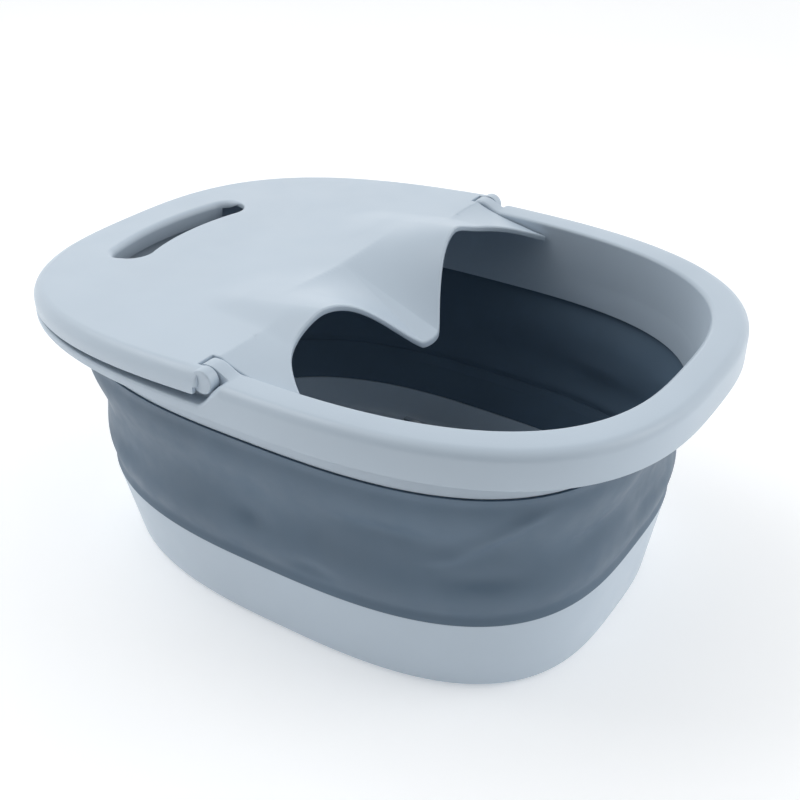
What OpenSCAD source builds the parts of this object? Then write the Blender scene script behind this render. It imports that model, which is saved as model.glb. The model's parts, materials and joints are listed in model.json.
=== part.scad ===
// Collapsible foot spa basin: rigid base tub, folding rubber wall, rigid top ring
// and a hinged heat-keeping lid with two leg arches.
// Millimetres, +Z up, +X towards the open front end, origin on the floor under the centre.

/* [Top ring] */
// Half length of the ring's outline
ring_half_l = 226; // [220:1:232]
// Half width of the ring's outline
ring_half_w = 163; // [158:1:168]
// Height of the raised front rim
ring_top = 190.5; // [188:0.5:192]
// Height of the flange's lower edge
flange_low = 168.5; // [167:0.5:169]
// Width of the rim's flat top, outline to inner edge
rim_w = 21; // [20:0.5:23]
// Height of the rear shelf beside the hinge
shelf_front_z = 175.3; // [174:0.1:176]
// Height of the rear shelf at the back
shelf_rear_z = 171.5; // [171:0.1:172]

/* [Folding wall] */
// Height of the upper outside seam
seam_top_z = 153.3; // [150:0.1:156]
// Height of the lower outside seam
seam_low_z = 59.5; // [56:0.1:62]
// Wall thickness of the rubber
rubber_t = 2.4; // [2:0.1:3]

/* [Base tub] */
// Half length of the base at the floor
base_half_l = 182; // [178:1:184]
// Half width of the base at the floor
base_half_w = 130; // [126:1:132]
// Wall thickness of the base
base_t = 2.8; // [2.4:0.1:3.2]
// Ground clearance given by the foot pads
pad_proud = 1.5; // [1:0.1:2]

/* [Lid] */
// Height of the lid's top over the hinge
lid_top = 196; // [195:0.5:197]
// Fall of the lid's top towards the rear, per millimetre
lid_fall = 0.053; // [0.04:0.001:0.055]
// Thickness of the lid
lid_t = 2.5; // [2:0.1:3]
// Rise of each leg hood at the front edge
hood_rise = 6.5; // [5:0.5:8]

/* [Hinge] */
// Height of the hinge axis
hinge_z = 189; // [188.5:0.1:189.5]
// Radius of the hinge pins
pin_r = 3; // [2.5:0.1:3.2]

/* [Massage rollers] */
// Radius of a roller
roller_r = 10; // [8:0.5:11]
// Length of a roller
roller_l = 66; // [60:1:68]
// Distance between roller axles
roller_pitch = 28; // [26:1:32]

/* [Hidden] */

// exponent of the rounded-rectangle plan curve |x/a|^n + |y/b|^n = 1
plan_n = 2.8;
// the same exponent for the front half and for the rear half of everything below the rim
body_front_n = 3.08;
body_rear_n = 2.47;
// edge rounding of the lid's skirt
skirt_round = 8;
// x of the hinge axis, of the skirt's ends and of the step from the ledge up to the rim
hinge_x = -6;
skirt_end_x = -8;
step_start_x = -9.5;
step_end_x = 8.5;
// hinge ear on the ring and knuckle on the lid, distances from the middle plane
ear_y = [144.3, 152.5];
knuckle_y = [153.2, 160.5];
ear_r = 6.8;
knuckle_r = 7.2;
// distance from the hinge axis to the end of the lid's notch for the ear
notch_r = 7.8;
running_gap = 0.05;
// width of the outer ledge, and inset of the lip that stands up inside it
lip_inset = 10.3;
// gap that keeps the rubber clear of the rigid parts
seam_gap = 0.3;
// inside faces of the basin
inner_seam_z = 135;
lap_low_z = 29;
floor_z = 5;
// massage rollers
foot_y = 62;
axle_r = 2;
axle_z = floor_z + roller_r + 2;
cradle_half_w = 40;
cradle_rail = 4;
pad_r = 12;
pad_x = 130;
pad_y = 82;

// ---- plan curve -------------------------------------------------------------

// distance from the centre to the plan curve in direction ang
function plan_r(a, b, ang, n) = pow(pow(abs(cos(ang)) / a, n) + pow(abs(sin(ang)) / b, n), -1 / n);
function plan_pt(a, b, ang, n = plan_n) = plan_r(a, b, ang, n) * [cos(ang), sin(ang)];
// half width of the plan curve at x
function plan_w(a, b, x) = b * pow(max(0, 1 - pow(abs(x) / a, plan_n)), 1 / plan_n);
// directions of the loft's stations: closer together beside the hinge
side_turns = concat([for (a = [0:5:85]) a], [for (a = [87:1:96]) a], [for (a = [100:5:175]) a]);
turns = concat(side_turns, [180], [for (i = [len(side_turns) - 1:-1:1]) 360 - side_turns[i]]);

function ease(t) = let (c = min(1, max(0, t))) c * c * (3 - 2 * c);

// ---- lofts ------------------------------------------------------------------

// triangles between rows of equal length; wrap joins the last row to the first
function loft_faces(rows, cols, wrap) =
    [for (i = [0:rows - (wrap ? 1 : 2)], j = [0:cols - 1])
        let (k = (i + 1) % rows, l = (j + 1) % cols)
        each [[i * cols + j, k * cols + j, k * cols + l], [i * cols + j, k * cols + l, i * cols + l]]];

// hollow band: rows run round its section and close on themselves
module band_loft(rows) {
    cols = len(rows[0]);
    polyhedron([for (r = rows) each r], loft_faces(len(rows), cols, true));
}

// dish: flat first and last rows are capped
module dish_loft(rows) {
    cols = len(rows[0]);
    n = len(rows);
    polyhedron([for (r = rows) each r],
               concat(loft_faces(n, cols, false),
                      [[for (j = [0:cols - 1]) j]],
                      [[for (j = [cols - 1:-1:0]) (n - 1) * cols + j]]));
}

// exponent of the plan curve in direction ang at height z: it turns into the rim's under the flange
function level_n(ang, z) =
    let (n = cos(ang) > 0 ? body_front_n : body_rear_n)
    n + (plan_n - n) * ease((z - seam_top_z - 2) / (flange_low - seam_top_z - 2));

// one level row of a loft from [half length, half width, height]
function level_row(level) =
    [for (ang = turns) let (p = plan_pt(level[0], level[1], ang, level_n(ang, level[2])))
        [p[0], p[1], level[2]]];

// ---- base tub ---------------------------------------------------------------

// half length and half width of the base's outside at height z
function base_a(z) = base_half_l + 8 * z / seam_low_z;
function base_b(z) = base_half_w + 13 * z / seam_low_z;
function base_level(z, inset) = [base_a(z) - inset, base_b(z) - inset, z];

module base_tub() {
    lap = base_t + rubber_t;
    levels = [base_level(pad_proud, 3), base_level(pad_proud + 3, 0), base_level(seam_low_z - seam_gap, 0),
              base_level(seam_low_z - seam_gap, base_t), base_level(lap_low_z, base_t),
              base_level(lap_low_z, lap), base_level(floor_z + 6, lap), base_level(floor_z, lap + 6)];
    color("#b9c7d6") difference() {
        dish_loft([for (l = levels) level_row(l)]);
        for (x = [-pad_x, pad_x], y = [-pad_y, pad_y])
            translate([x, y, 0]) cylinder(r = pad_r, h = pad_proud + 2, $fn = 48);
    }
}

module foot_pad(x, y) {
    color("#3c4650") translate([x, y, 0]) {
        cylinder(r = pad_r - 0.1, h = pad_proud + 2, $fn = 48);
    }
}

// ---- folding wall -----------------------------------------------------------

// outside of the rubber: a cone, drawn in between two soft ridges at shares 0.2 and 0.85 of its height
fold_top_a = 201;
fold_top_b = 152.5;
function fold_wave(t) =
    1.3 * (cos(360 * (t - 0.2) / 0.65) - 1) * ease(12 * t) * ease(12 * (1 - t));
function rubber_level(t, inset) =
    let (z = seam_low_z + (seam_top_z - seam_low_z) * t, w = fold_wave(t))
    [base_a(seam_low_z) + (fold_top_a - base_a(seam_low_z)) * t + w - inset,
     base_b(seam_low_z) + (fold_top_b - base_b(seam_low_z)) * t + w - inset, z];

module bellows() {
    steps = 16;
    outside = [for (i = [0:steps]) rubber_level(i / steps, 0)];
    inside = [for (i = [steps:-1:0]) rubber_level(i / steps, rubber_t)];
    lap_foot = lap_low_z + seam_gap;
    base_lap = [base_level(lap_foot, base_t + rubber_t), base_level(lap_foot, base_t + seam_gap),
                base_level(seam_low_z, base_t + seam_gap)];
    color("#5d6f80") band_loft([for (l = concat(outside, inside, base_lap)) level_row(l)]);
}

// ---- top ring ---------------------------------------------------------------

// rounded step up from a rear height to the raised rim
function step_z(x, rear) =
    rear + (ring_top - rear) * ease((x - step_start_x) / (step_end_x - step_start_x));

// outer ledge that the lid's skirt closes over
function ledge_z(x) =
    step_z(x, shelf_rear_z + (shelf_front_z - shelf_rear_z) * (x + ring_half_l) / ring_half_l);

// inner lip that stands up under the lid
function lip_z(x) = step_z(x, lid_top - lid_t - 5 + lid_fall * x);

// rows of the ring's ledge at half sizes, and at an inset from the outline
function ledge_curve(a, b, drop) =
    [for (ang = turns) let (p = plan_pt(a, b, ang)) [p[0], p[1], ledge_z(p[0]) - drop]];
function ledge_row(inset, drop) = ledge_curve(ring_half_l - inset, ring_half_w - inset, drop);
function lip_row(inset, drop) =
    [for (ang = turns) let (p = plan_pt(ring_half_l - inset, ring_half_w - inset, ang))
        [p[0], p[1], lip_z(p[0]) - drop]];

module ring_shell() {
    wall = 2.2;
    collar_a = 200;
    collar_b = 151.5;
    collar_z = seam_top_z + seam_gap;
    wall_a = 193;
    wall_b = 144.8;
    edge_drop = 2.2;
    rows = [level_row([ring_half_l, ring_half_w, flange_low]),
            ledge_row(0, edge_drop),
            ledge_row(0.3 * edge_drop, 0.3 * edge_drop),
            ledge_row(edge_drop, 0),
            ledge_row(lip_inset - 0.4, 0),
            lip_row(lip_inset, 0),
            lip_row(rim_w - 2, 0),
            lip_row(rim_w, 2),
            level_row([wall_a + 2, wall_b - 0.4, seam_top_z]),
            level_row([wall_a, wall_b, inner_seam_z]),
            level_row([wall_a + 1.6, wall_b + 1.6, inner_seam_z]),
            level_row([wall_a + 4.2, wall_b + 4, collar_z]),
            level_row([collar_a, collar_b, collar_z]),
            level_row([collar_a + 3, collar_b + 1, flange_low - 1]),
            ledge_curve(collar_a + 4, wall_b - 0.2, wall),
            ledge_row(wall, wall),
            level_row([ring_half_l - wall, ring_half_w - wall, flange_low])];
    band_loft(rows);
}

// ear that carries a hinge pin, on the side given by side = -1 or 1
module hinge_ear(side) {
    thick = ear_y[1] - ear_y[0];
    translate([hinge_x, side * (ear_y[0] + ear_y[1]) / 2, 0]) rotate([90, 0, 0]) {
        translate([0, hinge_z, 0]) cylinder(r = ear_r, h = thick, center = true, $fn = 64);
        linear_extrude(thick, center = true)
            polygon([[-ear_r, shelf_front_z - 2], [-ear_r, hinge_z], [0, hinge_z], [2.2, hinge_z + 6.4],
                     [18, ring_top - 0.1], [18, shelf_front_z - 2]]);
    }
}

module top_ring() {
    color("#c3cfdb") difference() {
        union() {
            ring_shell();
            for (side = [-1, 1]) hinge_ear(side);
        }
        for (side = [-1, 1])
            translate([hinge_x, side * (ear_y[0] + ear_y[1]) / 2, hinge_z]) rotate([90, 0, 0])
                cylinder(r = pin_r + running_gap, h = ear_y[1] - ear_y[0] + 1.2, center = true, $fn = 64);
    }
}

module hinge_pin(side) {
    color("#9aa5af")
        translate([hinge_x, side * (ear_y[0] - 0.5), hinge_z]) rotate([side > 0 ? -90 : 90, 0, 0])
            cylinder(r = pin_r, h = knuckle_y[1] - 1.5 - ear_y[0] + 0.5, $fn = 64);
}

// ---- lid --------------------------------------------------------------------

// fan centre of the lid's panel and the end of its side fingers
fan_x = -120;
foot_tip_x = 50;
// leg hoods: distance of the ridge from the middle, and the round rear end
ridge_y = 74.3;
hood_cap_x = -45;
hood_cap_l = 33;
// valley between the hoods: where it starts, its length, its fall, and its half width at the middle finger
valley_x = -27;
valley_l = 66;
valley_drop = 33.5;
tip_half_w = 9;
// leg recesses in the front edge: their deepest point, and how far the fingers reach past it
recess_x = 11.5;
recess_y = 90;
finger_reach = 30.8;
foot_reach = 41.3;

// front edge of the lid: a flat tip at the middle finger, then a round recess in front of each hood
function front_x(y) =
    let (inner = (max(abs(y), tip_half_w) - tip_half_w) / (recess_y - tip_half_w),
         outer = max(0, abs(y) - recess_y) / (142 - recess_y))
    recess_x + finger_reach * pow(max(0, 1 - inner), 1.95) + foot_reach * pow(outer, 2.1);

function panel_z(x) = lid_top + lid_fall * min(x, 30);
function valley_z(x) = panel_z(min(x, valley_x)) - valley_drop / valley_l * max(0, x - valley_x);

// half width of the valley floor, or behind it of the flat panel between the hoods
function valley_w(x) =
    x > valley_x ? tip_half_w * (x - valley_x) / valley_l : 0.85 * (valley_x - x);

// width of the outer side of a hood, from its ridge
function hood_side_w(x) = 39 + 0.3 * (x + 57);

// height of the far half of the lid
function half_z(x, y) =
    let (cap = max(x, hood_cap_x), behind = max(0, hood_cap_x - x) / hood_cap_l,
         rise = hood_rise * (0.25 + 0.75 * ease((x + 60) / 82)),
         foot_fall = 16.2 * pow(max(0, x + 8) / 52, 0.875))
    y > ridge_y
        ? let (out = (y - ridge_y) / hood_side_w(cap))
          panel_z(x) + rise * (1 - ease(norm([out / 0.56, behind]))) - foot_fall * pow(out, 1.28)
        : let (t = max(0, 1 - norm([(ridge_y - y) / (ridge_y - valley_w(cap)), behind])),
               crisp = 0.4 * ease((x + 50) / 40),
               share = (1 - crisp) * (1 - cos(180 * t)) / 2 + crisp * sin(90 * t))
          valley_z(x) + (panel_z(x) + rise - valley_z(x)) * share;

function lid_z(x, y) = half_z(x, abs(y));

function panel_w(x) =
    plan_w(ring_half_l - rim_w, ring_half_w - rim_w, x) - 0.8 - 2 * ease((x - 15) / 33);

// outline of the far half of the lid, from the rear to the middle finger:
// [x, y, edge rounding, depth of the edge]
skirt_turns = concat([for (a = [180:-5:100]) a],
                     [96, atan2(plan_w(ring_half_l, ring_half_w, skirt_end_x), skirt_end_x)]);
function skirt_depth(x) = 14.5 + 0.011 * x;
front_depth = 4.2;
lid_side = concat(
    [for (a = skirt_turns) let (p = plan_pt(ring_half_l, ring_half_w, a))
        [p[0], p[1], skirt_round, skirt_depth(p[0])]],
    [for (y = [155, 149]) [skirt_end_x, y, 1, lid_t + 0.5]],
    [for (x = [-7.5, 5, 15, 25, 33, 41, foot_tip_x]) [x, panel_w(x), 1, lid_t]],
    [for (y = [133:-7:28]) [front_x(y), y, 1, front_depth]],
    [for (y = [21, 15, tip_half_w, 0]) [front_x(y), y, 1, front_depth]]);
lid_edge = concat(lid_side, [for (i = [len(lid_side) - 1:-1:1]) let (e = lid_side[i]) [e[0], -e[1], e[2], e[3]]]);

// outward direction of the outline at station i
function edge_out(i) =
    let (n = len(lid_edge), a = lid_edge[(i + n - 1) % n], b = lid_edge[(i + 1) % n],
         d = [b[0] - a[0], b[1] - a[1]], l = norm(d))
    [-d[1] / l, d[0] / l];

// row of the panel at share s of the way from the fan centre to the edge's inner line
function lid_row(s, drop) =
    [for (i = [0:len(lid_edge) - 1])
        let (e = lid_edge[i], o = edge_out(i), bx = e[0] - o[0] * e[2], by = e[1] - o[1] * e[2],
             x = fan_x + s * (bx - fan_x), y = s * by)
        [x, y, lid_z(x, y) - drop]];

// row of the rounded edge at angle q, 0 on top and 90 at the side
function round_row(q) =
    [for (i = [0:len(lid_edge) - 1])
        let (e = lid_edge[i], o = edge_out(i), k = e[2] * (1 - sin(q)), x = e[0] - o[0] * k, y = e[1] - o[1] * k)
        [x, y, lid_z(e[0] - o[0] * e[2], e[1] - o[1] * e[2]) - e[2] * (1 - cos(q))]];

// row at the bottom of the edge, or inside it
function hem_row(inset, depth_share) =
    [for (i = [0:len(lid_edge) - 1])
        let (e = lid_edge[i], o = edge_out(i), k = min(inset, e[2] - 0.1))
        [e[0] - o[0] * k, e[1] - o[1] * k,
         lid_z(e[0] - o[0] * e[2], e[1] - o[1] * e[2]) - (lid_t + depth_share * (e[3] - lid_t)) - 0.1]];

module lid_shell() {
    shares = [0.12, 0.24, 0.36, 0.48, 0.6, 0.7, 0.8, 0.88, 0.95, 1];
    top_rows = [for (s = shares) lid_row(s, 0)];
    under_rows = [for (i = [len(shares) - 1:-1:0]) lid_row(shares[i] * 0.995, lid_t)];
    rows = concat(top_rows, [round_row(30), round_row(60), round_row(90), hem_row(0, 1), hem_row(lid_t, 1),
                             hem_row(lid_t, 0.2)], under_rows);
    cols = len(lid_edge);
    count = len(rows);
    first = count * cols;
    polyhedron(concat([for (r = rows) each r],
                      [[fan_x, 0, lid_z(fan_x, 0)], [fan_x, 0, lid_z(fan_x, 0) - lid_t]]),
               concat(loft_faces(count, cols, false),
                      [for (j = [0:cols - 1]) [first, j, (j + 1) % cols]],
                      [for (j = [0:cols - 1])
                          [first + 1, (count - 1) * cols + (j + 1) % cols, (count - 1) * cols + j]]));
}

// curved hand slot, concentric with the lid's rear edge
module hand_slot() {
    slot_arc = 160;
    slot_mid = 175;
    slot_w = 28;
    slot_half = 17;
    translate([-slot_mid + slot_arc, 0, 160]) {
        rotate([0, 0, 180 - slot_half])
            rotate_extrude(angle = 2 * slot_half, $fn = 96)
                translate([slot_arc - slot_w / 2, 0]) square([slot_w, 40]);
        for (a = [180 - slot_half, 180 + slot_half])
            rotate([0, 0, a]) translate([slot_arc, 0, 0]) cylinder(r = slot_w / 2, h = 40, $fn = 48);
    }
}

module lid() {
    color("#c9d5e0") difference() {
        union() {
            lid_shell();
            for (side = [-1, 1])
                translate([hinge_x, side * (knuckle_y[0] + knuckle_y[1]) / 2, hinge_z]) rotate([90, 0, 0])
                    cylinder(r = knuckle_r, h = knuckle_y[1] - knuckle_y[0], center = true, $fn = 64);
        }
        hand_slot();
        for (side = [-1, 1]) {
            translate([hinge_x - notch_r, side > 0 ? ear_y[0] - 0.7 : -ear_y[1] - 0.7, hinge_z - 15])
                cube([30, ear_y[1] - ear_y[0] + 1.4, 30]);
            translate([hinge_x, side * (ear_y[0] - 1), hinge_z]) rotate([side > 0 ? -90 : 90, 0, 0])
                cylinder(r = pin_r, h = knuckle_y[1] - 1.5 - ear_y[0] + 1, $fn = 64);
        }
    }
}

// ---- massage rollers ---------------------------------------------------------

module roller_cradle(side) {
    length = 2 * roller_pitch + 4 * roller_r - 8;
    height = axle_z - floor_z + 4;
    color("#aab8c6") translate([0, side * foot_y, floor_z]) difference() {
        union() {
            for (y = [-cradle_half_w, cradle_half_w - cradle_rail])
                translate([-length / 2, y, 0]) cube([length, cradle_rail, height]);
            for (x = [-length / 2, length / 2 - cradle_rail])
                translate([x, -cradle_half_w + 1, 0]) cube([cradle_rail, 2 * cradle_half_w - 2, 6]);
        }
        for (x = [-roller_pitch, 0, roller_pitch])
            translate([x, 0, axle_z - floor_z]) rotate([90, 0, 0])
                cylinder(r = axle_r, h = 2 * cradle_half_w + 2, center = true, $fn = 48);
    }
}

module roller_axle(side, place) {
    color("#c8ccd0") translate([place * roller_pitch, side * foot_y, axle_z]) rotate([90, 0, 0])
        cylinder(r = axle_r, h = 2 * cradle_half_w, center = true, $fn = 48);
}

// ribbed roller, turned round its axle
module roller(side, place) {
    ribs = 8;
    pitch = roller_l / ribs;
    color("#d6dde4") translate([place * roller_pitch, side * foot_y, axle_z]) rotate([90, 0, 0])
        rotate_extrude($fn = 64)
            polygon(concat([[axle_r + running_gap, -roller_l / 2], [roller_r - 2.5, -roller_l / 2]],
                           [for (i = [0:ribs - 1]) each
                               let (z = -roller_l / 2 + i * pitch)
                               [[roller_r, z + 0.3 * pitch], [roller_r, z + 0.7 * pitch], [roller_r - 2.5, z + pitch]]],
                           [[axle_r + running_gap, roller_l / 2]]));
}

base_tub();
bellows();
top_ring();
lid();
hinge_pin(-1);  // hinge_pin_near
hinge_pin(1);  // hinge_pin_far
foot_pad(-pad_x, -pad_y);  // foot_pad_1
foot_pad(-pad_x, pad_y);  // foot_pad_2
foot_pad(pad_x, -pad_y);  // foot_pad_3
foot_pad(pad_x, pad_y);  // foot_pad_4
roller_cradle(-1);  // roller_cradle_near
roller_cradle(1);  // roller_cradle_far
roller_axle(-1, -1);  // axle_near_1
roller_axle(-1, 0);  // axle_near_2
roller_axle(-1, 1);  // axle_near_3
roller_axle(1, -1);  // axle_far_1
roller_axle(1, 0);  // axle_far_2
roller_axle(1, 1);  // axle_far_3
roller(-1, -1);  // roller_near_1
roller(-1, 0);  // roller_near_2
roller(-1, 1);  // roller_near_3
roller(1, -1);  // roller_far_1
roller(1, 0);  // roller_far_2
roller(1, 1);  // roller_far_3
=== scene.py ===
"""Foot spa basin: a rigid tub and rim joined by a folding rubber wall, and a hinged lid over the rear.

Lengths below are in millimetres unless a name ends in _m. X points to the open front, Z up.
"""
import json
import math

import bmesh
import bpy
import numpy as np
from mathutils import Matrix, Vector


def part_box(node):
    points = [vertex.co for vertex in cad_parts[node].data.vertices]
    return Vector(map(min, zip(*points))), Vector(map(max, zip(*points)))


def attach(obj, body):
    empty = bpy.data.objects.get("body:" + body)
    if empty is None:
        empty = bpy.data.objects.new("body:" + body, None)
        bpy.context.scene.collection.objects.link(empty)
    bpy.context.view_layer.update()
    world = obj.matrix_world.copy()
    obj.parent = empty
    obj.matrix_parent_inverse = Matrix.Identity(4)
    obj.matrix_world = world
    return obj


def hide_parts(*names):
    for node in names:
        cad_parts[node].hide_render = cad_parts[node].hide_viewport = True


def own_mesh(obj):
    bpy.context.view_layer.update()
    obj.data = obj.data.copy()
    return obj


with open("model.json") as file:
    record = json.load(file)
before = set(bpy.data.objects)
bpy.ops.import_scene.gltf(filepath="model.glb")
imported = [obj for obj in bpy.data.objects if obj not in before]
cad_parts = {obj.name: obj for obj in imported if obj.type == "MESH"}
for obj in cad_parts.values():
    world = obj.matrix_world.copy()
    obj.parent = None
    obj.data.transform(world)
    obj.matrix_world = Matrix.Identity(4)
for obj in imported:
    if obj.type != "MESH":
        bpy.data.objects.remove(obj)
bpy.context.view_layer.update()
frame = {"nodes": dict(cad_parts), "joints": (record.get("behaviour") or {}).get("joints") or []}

# ---- driving sizes, read from the frame --------------------------------------------------------

MM = 0.001


def cad_size(node):
    """Half length, half width, lowest and highest point of a CAD node."""
    low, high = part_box(node)
    half_l = (high.x - low.x) / 2 / MM
    half_w = (high.y - low.y) / 2 / MM
    return half_l, half_w, low.z / MM, high.z / MM


RING_A, RING_B, RING_FOOT, _ = cad_size("top_ring")
TUB_A, TUB_B, TUB_FOOT, TUB_TOP = cad_size("base_tub")
RUBBER_FOOT = cad_size("bellows")[2]
RUBBER_TOP = cad_size("bellows")[3]
HINGE = next(j for j in frame["joints"] if j["name"] == "lid_hinge")
HINGE_X = HINGE["pos_m"][0] / MM
HINGE_Z = HINGE["pos_m"][2] / MM

# exponent of the rounded-rectangle plan |x/a|^n + |y/b|^n = 1, for the rim and for the body below it
PLAN_N = 2.8
BODY_FRONT_N = 3.08
BODY_REAR_N = 2.47

# rim and ledge of the ring
RIM_TOP = HINGE_Z + 1.5
RIM_W = 21
LEDGE_W = 10.3
FLANGE_LOW = RIM_TOP - 22
LEDGE_REAR = FLANGE_LOW + 3
SHEET = 2.4
TONGUE_R = 6.8
COLLAR_A, COLLAR_B = 200, 151.5
INNER_A, INNER_B = 193, 144.8

# walls of the tub, and the gap that keeps the rubber clear of rigid parts
TUB_WALL = 2.8
SEAM_GAP = 0.3

# lid
LID_TOP = HINGE_Z + 7
LID_FALL = 0.053
SKIRT_R = 8
TAB_X = HINGE_X - 2
NOTCH_X = HINGE_X - 7.8
FOOT_X = 50
RECESS_X = 11.5
RECESS_Y = 90
TIP_HALF_W = 9
RIDGE_Y = 74.3
KNUCKLE_Y = (153.2, 160.5)
KNUCKLE_R = 7.2

# hand slot, an arc about a point on the middle line
SLOT_CENTRE_X = -15
SLOT_ARC = 160
SLOT_HALF_W = 14
SLOT_HALF_ANGLE = math.radians(17)


# ---- curves --------------------------------------------------------------------------------------

def ease(t):
    """Smooth step from 0 to 1."""
    c = np.clip(t, 0, 1)
    return c * c * (3 - 2 * c)


def half_turn():
    """Directions over half a turn, closer together beside the hinge."""
    parts = [np.arange(0, 84, 0.5), np.arange(84, 99, 0.1), np.arange(99, 180.1, 0.5)]
    return np.radians(np.concatenate(parts))


HALF = half_turn()
TURNS = np.concatenate([HALF, 2 * math.pi - HALF[-2:0:-1]])


def plan(a, b, turns=TURNS, power=PLAN_N):
    """Points of the plan curve with half length a and half width b."""
    c, s = np.cos(turns), np.sin(turns)
    r = ((np.abs(c) / a) ** power + (np.abs(s) / b) ** power) ** (-1 / power)
    return r * c, r * s


def plan_power(z):
    """Exponent of the plan at a height: squarer at the front and rounder at the rear below the rim."""
    body = np.where(np.cos(TURNS) > 0, BODY_FRONT_N, BODY_REAR_N)
    return body + (PLAN_N - body) * ease((z - RUBBER_TOP - 2) / (FLANGE_LOW - RUBBER_TOP - 2))


def plan_width(a, b, x):
    """Half width of the plan curve at x."""
    return b * np.maximum(0, 1 - (np.abs(x) / a) ** PLAN_N) ** (1 / PLAN_N)


def arc_corner(start, corner, end, cut, steps):
    """Round arc that cuts a corner; start and end are the neighbouring points, cut the length taken off."""
    before, after = start - corner, end - corner
    length_before = np.hypot(before[..., 0], before[..., -1])[..., None]
    length_after = np.hypot(after[..., 0], after[..., -1])[..., None]
    unit_before, unit_after = before / length_before, after / length_after
    cut = np.broadcast_to(cut, length_before.shape[:-1])[..., None]
    cosine = unit_before[..., 0] * unit_after[..., 0] + unit_before[..., -1] * unit_after[..., -1]
    weight = np.sqrt(np.clip((1 - cosine[..., None]) / 2, 0.05, 1))
    first, last = corner + unit_before * cut, corner + unit_after * cut
    arc = []
    for t in np.linspace(0, 1, steps + 1):
        k0, k1, k2 = (1 - t) ** 2, 2 * weight * t * (1 - t), t * t
        arc.append((k0 * first + k1 * corner + k2 * last) / (k0 + k1 + k2))
    return arc


def section(corners, closed=True, steps=6):
    """Rows of points round the basin from the corners of its cross-section.

    A corner is (half length, half width, height, length cut off to round it)."""
    points = []
    for a, b, z, _ in corners:
        columns = np.broadcast_arrays(a, b, z, TURNS)[:3]
        points.append(np.stack(columns, axis=1).astype(float))
    rows = []
    last = len(corners) - 1
    for i, corner in enumerate(corners):
        end_of_open = not closed and i in (0, last)
        if end_of_open or np.all(np.asarray(corner[3]) == 0):
            rows.append(points[i])
        else:
            rows += arc_corner(points[i - 1], points[i], points[(i + 1) % len(points)], corner[3], steps)
    out = []
    for row in rows:
        x, y = plan(row[:, 0], row[:, 1], TURNS, plan_power(row[:, 2]))
        out.append(np.stack([x, y, row[:, 2]], axis=1))
    return out


# ---- meshes --------------------------------------------------------------------------------------

def add_mesh(name, points_mm, faces, sharp=38):
    """Object from points in millimetres, shaded smooth except at edges sharper than the angle."""
    mesh = bpy.data.meshes.new(name)
    mesh.from_pydata((np.asarray(points_mm) * MM).tolist(), [], faces)
    piece = bpy.data.objects.new(name, mesh)
    bpy.context.scene.collection.objects.link(piece)
    outward(mesh)
    mesh.shade_smooth()
    mesh.set_sharp_from_angle(angle=math.radians(sharp))
    return piece


def outward(mesh):
    """Turns every face outward."""
    work = bmesh.new()
    work.from_mesh(mesh)
    bmesh.ops.recalc_face_normals(work, faces=work.faces)
    work.to_mesh(mesh)
    work.free()


def loft(name, rows, closed=True, capped=False, sharp=38):
    """Skin over rows of equal length that each close on themselves.

    closed joins the last row to the first; capped fills the first and the last row."""
    count, cols = len(rows), len(rows[0])
    i, j = np.meshgrid(np.arange(count if closed else count - 1), np.arange(cols), indexing="ij")
    k, m = (i + 1) % count, (j + 1) % cols
    corners = [i * cols + j, k * cols + j, k * cols + m, i * cols + m]
    quads = np.stack(corners, axis=-1).reshape(-1, 4).tolist()
    if capped:
        quads.append(list(range(cols)))
        quads.append(list(range((count - 1) * cols, count * cols))[::-1])
    return add_mesh(name, np.concatenate(rows), quads, sharp)


# ---- finishes ------------------------------------------------------------------------------------

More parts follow.
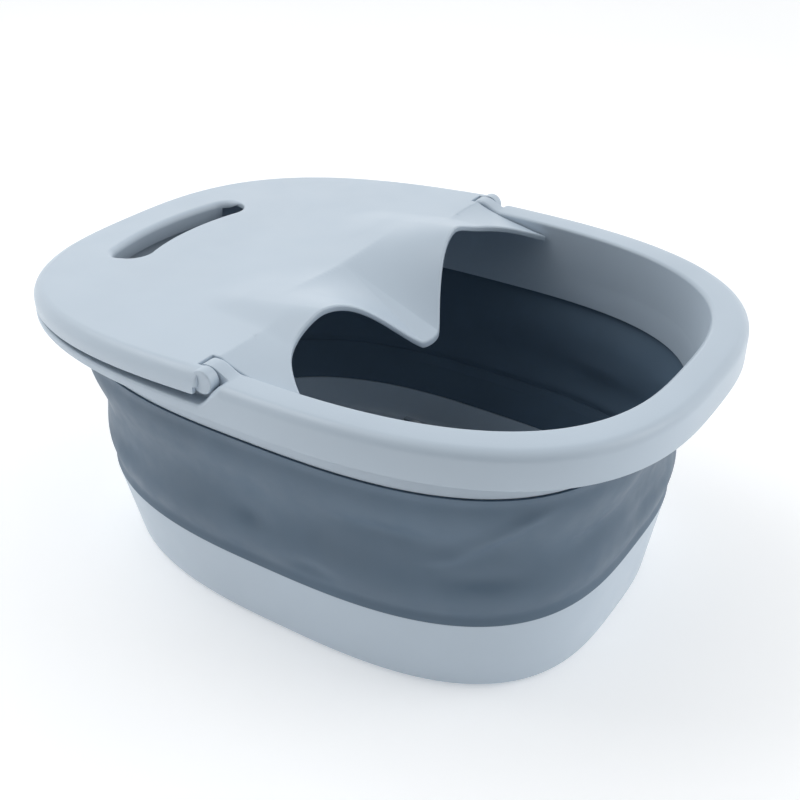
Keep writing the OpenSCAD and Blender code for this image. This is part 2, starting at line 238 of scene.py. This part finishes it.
class Finish:
    """Node material under construction: one Principled shader with helpers for noise and bump."""

    def __init__(self, name, roughness, metallic=0.0, specular=0.5):
        self.material = bpy.data.materials.new(name)
        self.material.use_nodes = True
        self.tree = self.material.node_tree
        self.shader = self.tree.nodes["Principled BSDF"]
        self.shader.inputs["Metallic"].default_value = metallic
        self.shader.inputs["Roughness"].default_value = roughness
        self.shader.inputs["Specular IOR Level"].default_value = specular
        self.place = self.tree.nodes.new("ShaderNodeTexCoord").outputs["Object"]
        self.normal = None

    def noise(self, scale, detail=3.0, stretch=(1, 1, 1)):
        """Noise value over the object's own coordinates, in metres."""
        spread = self.tree.nodes.new("ShaderNodeMapping")
        spread.inputs["Scale"].default_value = stretch
        texture = self.tree.nodes.new("ShaderNodeTexNoise")
        texture.inputs["Scale"].default_value = scale
        texture.inputs["Detail"].default_value = detail
        self.tree.links.new(self.place, spread.inputs["Vector"])
        self.tree.links.new(spread.outputs["Vector"], texture.inputs["Vector"])
        return texture.outputs["Fac"]

    def spread(self, value, low, high):
        """Maps a noise value, mostly between 0.3 and 0.7, to a range."""
        ramp = self.tree.nodes.new("ShaderNodeMapRange")
        ramp.inputs["From Min"].default_value = 0.3
        ramp.inputs["From Max"].default_value = 0.7
        ramp.inputs["To Min"].default_value = low
        ramp.inputs["To Max"].default_value = high
        self.tree.links.new(value, ramp.inputs["Value"])
        return ramp.outputs["Result"]

    def colour(self, tone, other, value):
        """Mixes two tones by a noise value."""
        mix = self.tree.nodes.new("ShaderNodeMix")
        mix.data_type = "RGBA"
        mix.inputs["A"].default_value = (*tone, 1)
        mix.inputs["B"].default_value = (*other, 1)
        self.tree.links.new(self.spread(value, 0, 1), mix.inputs["Factor"])
        self.tree.links.new(mix.outputs["Result"], self.shader.inputs["Base Color"])

    def roughness(self, value, low, high):
        """Lets the roughness wander between two values."""
        self.tree.links.new(self.spread(value, low, high), self.shader.inputs["Roughness"])

    def bump(self, value, depth_mm, strength=1.0):
        """Adds fine relief."""
        relief = self.tree.nodes.new("ShaderNodeBump")
        relief.inputs["Strength"].default_value = strength
        relief.inputs["Distance"].default_value = depth_mm * MM
        self.tree.links.new(value, relief.inputs["Height"])
        if self.normal:
            self.tree.links.new(self.normal, relief.inputs["Normal"])
        self.normal = relief.outputs["Normal"]
        self.tree.links.new(self.normal, self.shader.inputs["Normal"])


def tinted(tone, amount):
    """A tone a little lighter or darker."""
    return tuple(channel * amount for channel in tone)


def moulded_plastic(name, tone, roughness):
    """Satin moulded plastic: broad unevenness and fine spark-eroded grain."""
    finish = Finish(name, roughness)
    finish.colour(tinted(tone, 0.97), tinted(tone, 1.03), finish.noise(9))
    finish.roughness(finish.noise(40), roughness - 0.05, roughness + 0.06)
    finish.bump(finish.noise(28, 2), 0.12, 0.35)
    finish.bump(finish.noise(1400, 2), 0.012, 0.25)
    return finish.material


def soft_rubber(name, tone, roughness):
    """Matt thermoplastic rubber with a faint bloom and a fine grain."""
    finish = Finish(name, roughness, specular=0.4)
    finish.colour(tinted(tone, 0.93), tinted(tone, 1.08), finish.noise(14, 5))
    finish.roughness(finish.noise(60, 4), roughness - 0.08, roughness + 0.08)
    finish.bump(finish.noise(24, 3), 0.5, 0.4)
    finish.bump(finish.noise(1500, 3), 0.03, 0.6)
    return finish.material


def drawn_steel(name, tone, roughness):
    """Bright steel with fine lines along the rod."""
    finish = Finish(name, roughness, metallic=1.0)
    finish.colour(tinted(tone, 0.92), tone, finish.noise(220, 3, (6, 0.3, 6)))
    finish.roughness(finish.noise(500, 3, (6, 0.2, 6)), roughness - 0.06, roughness + 0.1)
    finish.bump(finish.noise(900, 2, (6, 0.2, 6)), 0.01, 0.5)
    return finish.material


def pale_floor():
    """Plain matt floor with a barely seen unevenness."""
    finish = Finish("floor", 0.6, specular=0.25)
    finish.colour((0.9, 0.905, 0.91), (0.93, 0.935, 0.94), finish.noise(2))
    finish.bump(finish.noise(300), 0.05, 0.1)
    finish.shader.inputs["Emission Color"].default_value = (1, 1, 1, 1)
    finish.shader.inputs["Emission Strength"].default_value = 0.26
    return finish.material


# ---- tub -----------------------------------------------------------------------------------------

def tub_size(z):
    """Half length and half width of the tub's outside at a height."""
    share = (z - TUB_TOP) / TUB_TOP
    return TUB_A + 8 * share, TUB_B + 13 * share


def tub_corner(z, inset, cut):
    """Corner of the tub's section at a height and inset."""
    a, b = tub_size(z)
    return a - inset, b - inset, z, cut


def build_tub():
    """Open tub with a sunk band inside for the foot of the rubber wall."""
    lap = TUB_WALL + SHEET
    shrink = (0.04, 0.35, 0.7)
    a, b = tub_size(TUB_FOOT)
    floor_z = TUB_FOOT + 3.5
    under = [(a * s, b * s, TUB_FOOT, 0) for s in shrink]
    side = [
        tub_corner(TUB_FOOT, 0.5, 3.2),
        tub_corner(TUB_TOP, 0, 0.5),
        tub_corner(TUB_TOP, TUB_WALL, 0.4),
        tub_corner(RUBBER_FOOT - SEAM_GAP, TUB_WALL, 0),
        tub_corner(RUBBER_FOOT - SEAM_GAP, lap, 0.4),
        tub_corner(floor_z, lap + 1, 7),
    ]
    floor = [(a * s, b * s, floor_z, 0) for s in reversed(shrink)]
    tub = loft("tub", section(under + side + floor, closed=False), closed=False, capped=True)
    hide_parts("base_tub")
    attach(tub, "base")
    return tub


# ---- folding wall --------------------------------------------------------------------------------

# lasting creases from folding: direction in degrees, height, half width in degrees, half height, depth
DENTS = [
    (273, 96, 5, 7, 2.6),
    (289, 74, 5, 5, 2.4),
    (305, 118, 9, 8, 2.6),
    (322, 92, 7, 7, 2.4),
    (231, 92, 10, 9, 2.4),
    (343, 104, 8, 8, 2.8),
    (2, 88, 8, 7, 2.4),
    (24, 112, 9, 8, 2.2),
    (52, 92, 10, 9, 2.2),
    (118, 88, 9, 9, 2.0),
    (160, 104, 8, 10, 2.0),
    (196, 84, 9, 8, 2.0),
]


def wall_wave(share):
    """How far the wall stands out between the seams: two soft ridges with a hollow between them."""
    hollow = 2.3 * (np.cos(2 * math.pi * (share - 0.2) / 0.65) - 1)
    return hollow * ease(12 * share) * ease(12 * (1 - share))


def wall_dents(z):
    """Depth of the lasting creases at a height, over all directions."""
    degrees = np.degrees(TURNS)
    depth = np.zeros_like(TURNS)
    for direction, height, half_deg, half_height, deep in DENTS:
        away = (degrees - direction + 180) % 360 - 180
        depth += deep * np.exp(-((away / half_deg) ** 2) - ((z - height) / half_height) ** 2)
    return depth


def corner_fold(z):
    """Ridge that leaves the upper fold at the front corner and runs down towards the near side."""
    degrees = np.degrees(TURNS)
    middle = 316 + 10 * (z - 107) / 29
    reach = ease((z - 98) / 10) * ease((146 - z) / 10)
    return 2.0 * reach * np.exp(-((degrees - middle) / 2.6) ** 2)


def wall_corner(share, inset):
    """Row of the wall at a share of its height between the seams."""
    top_a, top_b = COLLAR_A + 1, COLLAR_B + 1
    z = TUB_TOP + (RUBBER_TOP - TUB_TOP) * share
    out = wall_wave(share) - (wall_dents(z) - corner_fold(z)) * ease(8 * share) * ease(8 * (1 - share))
    a = TUB_A + (top_a - TUB_A) * share + out - inset
    b = TUB_B + (top_b - TUB_B) * share + out - inset
    return a, b, z, 0


def build_wall():
    """Rubber skin between tub and ring, lapped inside the tub."""
    shares = np.linspace(0, 1, 61)
    outside = [wall_corner(share, 0) for share in shares]
    inside = [wall_corner(share, SHEET) for share in shares[::-1]]
    lap = [
        tub_corner(RUBBER_FOOT, TUB_WALL + SHEET, 0.8),
        tub_corner(RUBBER_FOOT, TUB_WALL + SEAM_GAP, 0),
        tub_corner(TUB_TOP + SEAM_GAP, TUB_WALL + SEAM_GAP, 0),
    ]
    wall = loft("rubber_wall", section(outside + inside + lap), sharp=50)
    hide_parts("bellows")
    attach(wall, "base")
    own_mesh(wall)
    return wall


# ---- ring ----------------------------------------------------------------------------------------

def step_up(x, rear):
    """Height that climbs from the rear value to the rim in a rounded step beside the hinge."""
    return rear + (RIM_TOP - rear) * ease((x - HINGE_X + 3.5) / 18)


def ledge_z(x):
    """Outer ledge that the lid's skirt closes over."""
    return step_up(x, LEDGE_REAR + 3.8 * (x + RING_A) / RING_A)


def lip_z(x):
    """Inner lip under the lid, with the tongue that carries the hinge pin."""
    from_axis = x - HINGE_X
    tongue_top = HINGE_Z + TONGUE_R
    nose = HINGE_Z + TONGUE_R * np.maximum(0, 1 - (from_axis / TONGUE_R) ** 4) ** 0.25
    back = tongue_top + (RIM_TOP - tongue_top) * ease(from_axis / 15)
    under_lid = LID_TOP - SHEET - 5 + LID_FALL * x
    return np.where(from_axis < -TONGUE_R, under_lid, np.where(from_axis < 0, nose, back))


def ring_corner(height, inset, drop, cut):
    """Corner of the ring's section whose height follows a profile along the basin."""
    a, b = RING_A - inset, RING_B - inset
    return a, b, height(plan(a, b)[0]) - drop, cut


def build_ring():
    """Rim with a down-turned flange, the collar round the rubber and the inner wall."""
    x = plan(RING_A, RING_B)[0]
    raised = ease((x - HINGE_X + 6) / 22)
    top_round = 1.8 + 4.4 * raised
    skin = 2.2
    under_ledge = (COLLAR_A + 4, INNER_B - 0.2)
    corners = [
        (RING_A, RING_B, FLANGE_LOW, 0.7),
        ring_corner(ledge_z, 0, 0, top_round),
        ring_corner(ledge_z, LEDGE_W - 0.4, 0, 0.35),
        ring_corner(lip_z, LEDGE_W + 0.4, 0, 0.35),
        ring_corner(lip_z, RIM_W, 0, 2.4),
        (INNER_A + 2, INNER_B - 0.4, RUBBER_TOP, 2),
        (INNER_A, INNER_B, RING_FOOT, 0.6),
        (INNER_A + 1.6, INNER_B + 1.6, RING_FOOT, 0.6),
        (INNER_A + 4.2, INNER_B + 4, RUBBER_TOP + SEAM_GAP, 0),
        (COLLAR_A, COLLAR_B, RUBBER_TOP + SEAM_GAP, 0.7),
        (COLLAR_A + 3, COLLAR_B + 1, FLANGE_LOW - 1, 1.2),
        (*under_ledge, ledge_z(plan(*under_ledge)[0]) - skin, 0),
        ring_corner(ledge_z, skin, skin, 0),
        (RING_A - skin, RING_B - skin, FLANGE_LOW, 0.5),
    ]
    ring = loft("ring", section(corners))
    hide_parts("top_ring")
    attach(ring, "ring")
    return ring


# ---- lid -----------------------------------------------------------------------------------------

def panel_z(x):
    """Height of the lid's flat panel."""
    return LID_TOP + LID_FALL * np.minimum(x, 30)


def lid_z(x, y):
    """Height of the lid: a flat panel, two leg hoods, and the valley that falls between them."""
    y = np.abs(y)
    hood_rear, hood_rear_l = -45, 33
    valley_x, valley_l, valley_fall = -27, 66, 33.5
    capped = np.maximum(x, hood_rear)
    behind = np.maximum(0, hood_rear - x) / hood_rear_l
    rise = 6.3 * (0.25 + 0.75 * ease((x + 60) / 82))
    valley = panel_z(np.minimum(x, valley_x)) - valley_fall / valley_l * np.maximum(0, x - valley_x)
    widening = TIP_HALF_W * (capped - valley_x) / valley_l
    floor_w = np.where(capped > valley_x, widening, 0.85 * (valley_x - capped))

    near_ridge = np.clip(1 - np.hypot((RIDGE_Y - y) / (RIDGE_Y - floor_w), behind), 0, 1)
    crisp = 0.4 * ease((x + 50) / 40)
    share = (1 - crisp) * (1 - np.cos(math.pi * near_ridge)) / 2 + crisp * np.sin(math.pi / 2 * near_ridge)
    inner = valley + (panel_z(x) + rise - valley) * share

    out = np.maximum(0, y - RIDGE_Y) / (39 + 0.3 * (capped + 57))
    foot_fall = 16.2 * (np.maximum(0, x + 8) / 52) ** 0.875
    outer = panel_z(x) + rise * (1 - ease(np.hypot(out / 0.56, behind))) - foot_fall * out ** 1.28
    return np.where(y < RIDGE_Y, inner, outer)


def skirt_drop(x, y, inset, radius):
    """Drop of the quarter-round edge that follows the ring's outline."""
    gx, gy = np.abs(x) / RING_A, np.abs(y) / RING_B
    g = (gx ** PLAN_N + gy ** PLAN_N) ** (1 / PLAN_N)
    slope = g ** (1 - PLAN_N) * np.hypot(gx ** (PLAN_N - 1) / RING_A, gy ** (PLAN_N - 1) / RING_B)
    from_edge = np.clip((1 - g) / slope - inset, 0, radius)
    return radius - np.sqrt(radius ** 2 - (radius - from_edge) ** 2)


def front_x(y):
    """Front edge: a finger in the middle, a round recess before each hood, and a finger at each side."""
    y = np.abs(y)
    rounding = 5
    past_tip = (y - TIP_HALF_W + np.hypot(y - TIP_HALF_W, rounding)) / 2
    inner = np.clip(1 - past_tip / (RECESS_Y - TIP_HALF_W), 0, 1)
    outer = np.maximum(0, y - RECESS_Y) / 52
    return RECESS_X + 30.8 * inner ** 1.95 + 41.3 * outer ** 2.1


def panel_side(x):
    """Half width of the panel ahead of the hinge, where it lies inside the ring."""
    return plan_width(RING_A - RIM_W, RING_B - RIM_W, x) - 0.8 - 0.6 * ease((x - 15) / 33)


def straight(start, end, count):
    """Evenly spaced points of a straight line, without its ends."""
    share = np.linspace(0, 1, count + 2)[1:-1, None]
    return np.asarray(start) + (np.asarray(end) - np.asarray(start)) * share


def lid_half_outline():
    """Far half of the lid's outline: rear edge, tab of the hinge, notch for the ring's tongue, panel side,
    side finger and front edge to the middle finger.

    A station is (x, y, reach of the rounded edge, drop of that edge, depth and width of the hem)."""
    rear_turns = np.linspace(math.pi, math.atan2(RING_B, TAB_X - 2.6), 230)
    rear = np.stack(plan(RING_A, RING_B, rear_turns), axis=1)
    front_y = np.linspace(136.2, 0, 210)
    front = np.stack([front_x(front_y), front_y], axis=1)
    side_x = np.linspace(NOTCH_X + 2, FOOT_X - 4, 40)
    side = np.stack([side_x, panel_side(side_x)], axis=1)
    tab_outer = np.array([TAB_X, plan_width(RING_A, RING_B, TAB_X)])
    tab_inner = np.array([TAB_X, KNUCKLE_Y[0]])
    notch_outer = np.array([NOTCH_X, KNUCKLE_Y[0]])
    notch_inner = np.array([NOTCH_X, panel_side(NOTCH_X)])
    foot = np.array([FOOT_X, panel_side(FOOT_X)])

    def stations(points, reach, drop, depth, hem):
        points = np.asarray(points)
        extra = [np.broadcast_to(value, len(points)) for value in (reach, drop, depth, hem)]
        return np.column_stack([points, *extra])

    round_bottom = 4.6
    tab_depth = 14.5 - round_bottom
    gap = np.clip(round_bottom - (TAB_X - rear[:, 0]), 0, round_bottom)
    rear_depth = 14.5 + 0.011 * rear[:, 0] - round_bottom + np.sqrt(round_bottom ** 2 - gap ** 2)
    fade = np.linspace(0, 1, 9)
    sheet_edge = SHEET + 0.8
    return np.concatenate([
        stations(rear, 1, 0, rear_depth, SHEET),
        stations(arc_corner(rear[-1], tab_outer, tab_inner, 2.4, 8), 1, fade, tab_depth, SHEET),
        stations(straight(tab_outer - [0, 2.4], tab_inner + [0, 1], 8), 1, 1, tab_depth, 2),
        stations(arc_corner(tab_outer, tab_inner, notch_outer, 1, 4), 0.6, 0.6, tab_depth, 2),
        stations(straight(tab_inner - [1, 0], notch_outer + [0.6, 0], 5), 0.6, 0.6, tab_depth, 2),
        stations(arc_corner(tab_inner, notch_outer, notch_inner, 0.6, 4), 0.6, 0.6,
                 np.linspace(tab_depth, sheet_edge, 5), 2),
        stations(straight(notch_outer - [0, 0.6], notch_inner + [0, 0.8], 12), 0.6, 0.6, sheet_edge, 2),
        stations(arc_corner(notch_outer, notch_inner, side[0], 0.8, 4), 0.8, 0.8, sheet_edge, 2),
        stations(side, 1, 1, sheet_edge + np.linspace(0, 1, len(side_x)), SHEET),
        stations(arc_corner(side[-1], foot, front[0], 2.2, 8), 1, 1, 4.3, 2.8),
        stations(front, 1.6, 1.6, 4.3, 3.2),
    ])


def mirrored(half):
    """Closed outline from its far half; the first and last station lie on the middle plane."""
    other = half[-2:0:-1].copy()
    other[:, 1] *= -1
    return np.concatenate([half, other])


def slot_half(edge):
    """Far half of the hand slot, one point for each station of the lid's far half.

    Returns the centre line of the slot's arc and the direction from it in which its edge lies."""
    x, y = edge.T
    end_x = SLOT_CENTRE_X - SLOT_ARC * math.cos(SLOT_HALF_ANGLE)
    end_y = SLOT_ARC * math.sin(SLOT_HALF_ANGLE)
    polar = np.arctan2(y, SLOT_CENTRE_X - x)
    foot_y = panel_side(FOOT_X)
    foot_turn = math.atan2(foot_y - end_y, FOOT_X - end_x)
    rear_turn = math.pi - SLOT_HALF_ANGLE
    turn = np.arctan2(y - end_y, x - end_x)
    turn = np.where(x < end_x, turn % (2 * math.pi), turn)
    turn = np.minimum.accumulate(turn) - 1e-5 * np.arange(len(turn))
    behind = polar <= SLOT_HALF_ANGLE
    ahead = np.arange(len(edge)) >= np.argmax(x)
    cap = np.maximum(rear_turn - math.pi * (rear_turn - turn) / (rear_turn - foot_turn), -SLOT_HALF_ANGLE)
    lean = SLOT_HALF_ANGLE * np.minimum(y / foot_y, 1)
    angle = np.where(behind, math.pi - polar, np.where(ahead, -lean, cap))
    arc = np.where(behind, polar, np.where(ahead, lean, SLOT_HALF_ANGLE))
    centre = np.stack([SLOT_CENTRE_X - SLOT_ARC * np.cos(arc), SLOT_ARC * np.sin(arc)], axis=1)
    return centre, np.stack([np.cos(angle), np.sin(angle)], axis=1)


def skin_lines(start, finish, shares):
    """Points along the lines of the lid's skin; lines to the tab bend round the notch for the tongue."""
    bend = 0.93
    line = finish - start
    x, y = finish[:, 0], np.abs(finish[:, 1])
    near_notch = ease((x - NOTCH_X + 50) / 50) * (y > KNUCKLE_Y[0])
    knee = start + line * (bend + (0.99 - bend) * near_notch)[:, None]
    to_tab = (x > NOTCH_X - 0.1) & (x < TAB_X) & (y > KNUCKLE_Y[0])
    knee_x = NOTCH_X - 1.5
    beside_notch = KNUCKLE_Y[0] + 0.65 + 0.08 * (y - KNUCKLE_Y[0]) + 0.04 * (x - NOTCH_X)
    straight_y = np.abs(start[:, 1] + line[:, 1] * (knee_x - start[:, 0]) / line[:, 0])
    knee[to_tab, 0] = knee_x
    knee[to_tab, 1] = (np.maximum(straight_y, beside_notch) * np.sign(finish[:, 1]))[to_tab]
    for share in shares:
        if share < bend:
            yield start + (knee - start) * share / bend
        else:
            yield knee + (finish - knee) * (share - bend) / (1 - bend)


def lid_rows():
    """Rows of the lid's skin: up the slot's wall, over the top, round the hem and back underneath."""
    half = lid_half_outline()
    outline = mirrored(half)
    edge = outline[:, :2]
    drop, depth = outline[:, 3], outline[:, 4]
    to_foot = FOOT_X - edge[:, 0]
    reach = np.minimum(outline[:, 2], 0.1 * to_foot + 0.12)
    hem = np.minimum(outline[:, 5], 0.15 * to_foot + 0.2)
    along = np.roll(edge, -1, axis=0) - np.roll(edge, 1, axis=0)
    normal = np.stack([-along[:, 1], along[:, 0]], axis=1) / np.hypot(*along.T)[:, None]
    centre, facing = (mirrored(part) for part in slot_half(half[:, :2]))
    slot = centre + facing * SLOT_HALF_W
    rearward = ease((0.25 - facing[:, 0]) / 0.8)
    lip = 1.2 + 3.4 * rearward
    wall = 3.4 + 11 * rearward * ease((56 - np.abs(slot[:, 1])) / 0.8)

    def top(points, lower=0.0):
        x, y = points[:, 0], points[:, 1]
        return np.column_stack([x, y, lid_z(x, y) - skirt_drop(x, y, 0, SKIRT_R) - lower])

    def under(points):
        x, y = points[:, 0], points[:, 1]
        return np.column_stack([x, y, lid_z(x, y) - SHEET - skirt_drop(x, y, SHEET, SKIRT_R - SHEET)])

    slot_z = lid_z(*slot.T)
    edge_z = lid_z(*edge.T)
    wall_foot = slot + facing * (2.6 * rearward)[:, None]
    rows = [np.column_stack([wall_foot, slot_z - wall])]
    for q in np.radians(np.linspace(0, 90, 7)):
        rows.append(top(slot + facing * (lip * (1 - math.cos(q)))[:, None], lip * (1 - math.sin(q))))
    start = slot + facing * lip[:, None]
    finish = edge - normal * reach[:, None]
    shares = np.concatenate([np.linspace(0, 0.93, 86)[1:], 1 - 0.07 * np.linspace(1, 0, 18)[1:] ** 1.5])
    rows += [top(points) for points in skin_lines(start, finish, shares)]
    for q in np.radians(np.linspace(0, 90, 9))[1:]:
        rows.append(top(edge - normal * (reach * (1 - math.sin(q)))[:, None], drop * (1 - math.cos(q))))
    bead = 0.9
    for q in np.radians(np.linspace(0, 90, 4)):
        points = edge - normal * bead * (1 - math.cos(q))
        rows.append(np.column_stack([points, edge_z - depth + bead * (1 - math.sin(q))]))
    inner = edge - normal * hem[:, None]
    rows.append(np.column_stack([inner, edge_z - depth]))
    behind_wall = wall_foot + facing * 2
    rows += [under(points) for points in skin_lines(behind_wall, inner, np.linspace(1, 0, 40) ** 0.6)]
    rows.append(np.column_stack([behind_wall, slot_z - wall]))
    return rows


def build_knuckle(side):
    """Round knuckle that holds the outer end of a hinge pin."""
    turns = np.linspace(0, 2 * math.pi, 97)[:-1]
    inner, outer = KNUCKLE_Y[0] + 0.05, KNUCKLE_Y[1]
    edge = 1.0
    profile = [(KNUCKLE_R * 0.05, inner), (KNUCKLE_R - 0.3, inner), (KNUCKLE_R, inner + 0.3)]
    for q in np.radians(np.linspace(0, 90, 6)):
        profile.append((KNUCKLE_R - edge * (1 - math.cos(q)), outer - edge * (1 - math.sin(q))))
    profile.append((KNUCKLE_R * 0.05, outer))
    rows = []
    for radius, y in profile:
        x = HINGE_X + radius * np.cos(turns)
        rows.append(np.column_stack([x, np.full_like(x, side * y), HINGE_Z + radius * np.sin(turns)]))
    return loft("lid_knuckle_" + ("far" if side > 0 else "near"), rows, closed=False, capped=True)


def build_lid():
    """Splash lid with its two hinge knuckles."""
    pieces = [loft("lid_shell", lid_rows(), sharp=45), build_knuckle(-1), build_knuckle(1)]
    for piece in pieces:
        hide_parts("lid")
        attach(piece, "lid_body")
    return pieces


# ---- stage ---------------------------------------------------------------------------------------

def build_floor():
    """Plain floor with a far horizon."""
    half = 6000
    corners = [(-half, -half, 0), (half, -half, 0), (half, half, 0), (-half, half, 0)]
    floor = add_mesh("floor", corners, [(0, 1, 2, 3)])
    floor.data.materials.append(pale_floor())


def soft_light(name, place, size, power, target=(0, 0, 0.1)):
    """Square soft box aimed at the basin."""
    data = bpy.data.lights.new(name, "AREA")
    data.size = size
    data.energy = power
    light = bpy.data.objects.new(name, data)
    bpy.context.scene.collection.objects.link(light)
    light.location = place
    light.rotation_euler = (Vector(target) - Vector(place)).to_track_quat("-Z", "Y").to_euler()


def bright_room():
    """White surroundings, brightest at the sides and darker towards the side that the camera stands on."""
    world = bpy.data.worlds.new("studio")
    bpy.context.scene.world = world
    world.use_nodes = True
    tree = world.node_tree
    direction = tree.nodes.new("ShaderNodeTexCoord").outputs["Generated"]

    def ramp(towards, start, end, first, last):
        facing = tree.nodes.new("ShaderNodeVectorMath")
        facing.operation = "DOT_PRODUCT"
        facing.inputs[1].default_value = Vector(towards).normalized()
        change = tree.nodes.new("ShaderNodeMapRange")
        change.interpolation_type = "SMOOTHSTEP"
        for socket, value in (("From Min", start), ("From Max", end), ("To Min", first), ("To Max", last)):
            change.inputs[socket].default_value = value
        tree.links.new(direction, facing.inputs[0])
        tree.links.new(facing.outputs["Value"], change.inputs["Value"])
        return change.outputs["Result"]

    strength = tree.nodes.new("ShaderNodeMath")
    strength.operation = "MULTIPLY"
    tree.links.new(ramp((0, 0, 1), 0.1, 0.9, 1.1, 0.62), strength.inputs[0])
    tree.links.new(ramp((0.42, -0.9, 0.05), 0.35, 0.9, 1.1, 0.0), strength.inputs[1])
    background = tree.nodes["Background"]
    background.inputs["Color"].default_value = (0.97, 0.985, 1.0, 1)
    tree.links.new(strength.outputs["Value"], background.inputs["Strength"])


def place_camera():
    """Camera above and ahead of the near side."""
    target = Vector((0.0067, 0.0154, 0.0952))
    distance = 0.7785
    azimuth, elevation = math.radians(33.27), math.radians(30.67)
    away = Vector((math.sin(azimuth) * math.cos(elevation), -math.cos(azimuth) * math.cos(elevation),
                   math.sin(elevation)))
    data = bpy.data.cameras.new("camera")
    data.sensor_width = 36
    data.lens = 51.12
    camera = bpy.data.objects.new("camera", data)
    bpy.context.scene.collection.objects.link(camera)
    camera.location = target + away * distance
    camera.rotation_euler = (-away).to_track_quat("-Z", "Y").to_euler()
    bpy.context.scene.camera = camera


# ---- assembly ------------------------------------------------------------------------------------

SHELL_TONE = (0.50, 0.585, 0.67)
shell = moulded_plastic("shell_plastic", SHELL_TONE, 0.34)
lid_plastic = moulded_plastic("lid_plastic", tinted(SHELL_TONE, 1.02), 0.34)
rubber = soft_rubber("folding_rubber", (0.1, 0.153, 0.214), 0.48)
pad_rubber = soft_rubber("pad_rubber", (0.035, 0.04, 0.048), 0.7)
roller_plastic = moulded_plastic("roller_plastic", (0.62, 0.66, 0.7), 0.4)
cradle_plastic = moulded_plastic("cradle_plastic", (0.36, 0.43, 0.51), 0.42)
steel = drawn_steel("drawn_steel", (0.62, 0.63, 0.65), 0.24)

for piece in (build_tub(), build_ring()):
    piece.data.materials.append(shell)
for piece in build_lid():
    piece.data.materials.append(lid_plastic)
build_wall().data.materials.append(rubber)

FINISH_OF = {
    "hinge_pin": steel,
    "foot_pad": pad_rubber,
    "roller_cradle": cradle_plastic,
    "axle": steel,
    "roller": roller_plastic,
}
for name, node in frame["nodes"].items():
    for start, finish in FINISH_OF.items():
        if name.startswith(start):
            node.data.materials.clear()
            node.data.materials.append(finish)
            break

build_floor()
bright_room()
soft_light("key", (-1.0, -0.3, 1.6), 1.2, 9)
soft_light("fill", (1.3, 0.6, 1.2), 0.9, 5)
place_camera()
bpy.context.scene.view_settings.view_transform = "Standard"
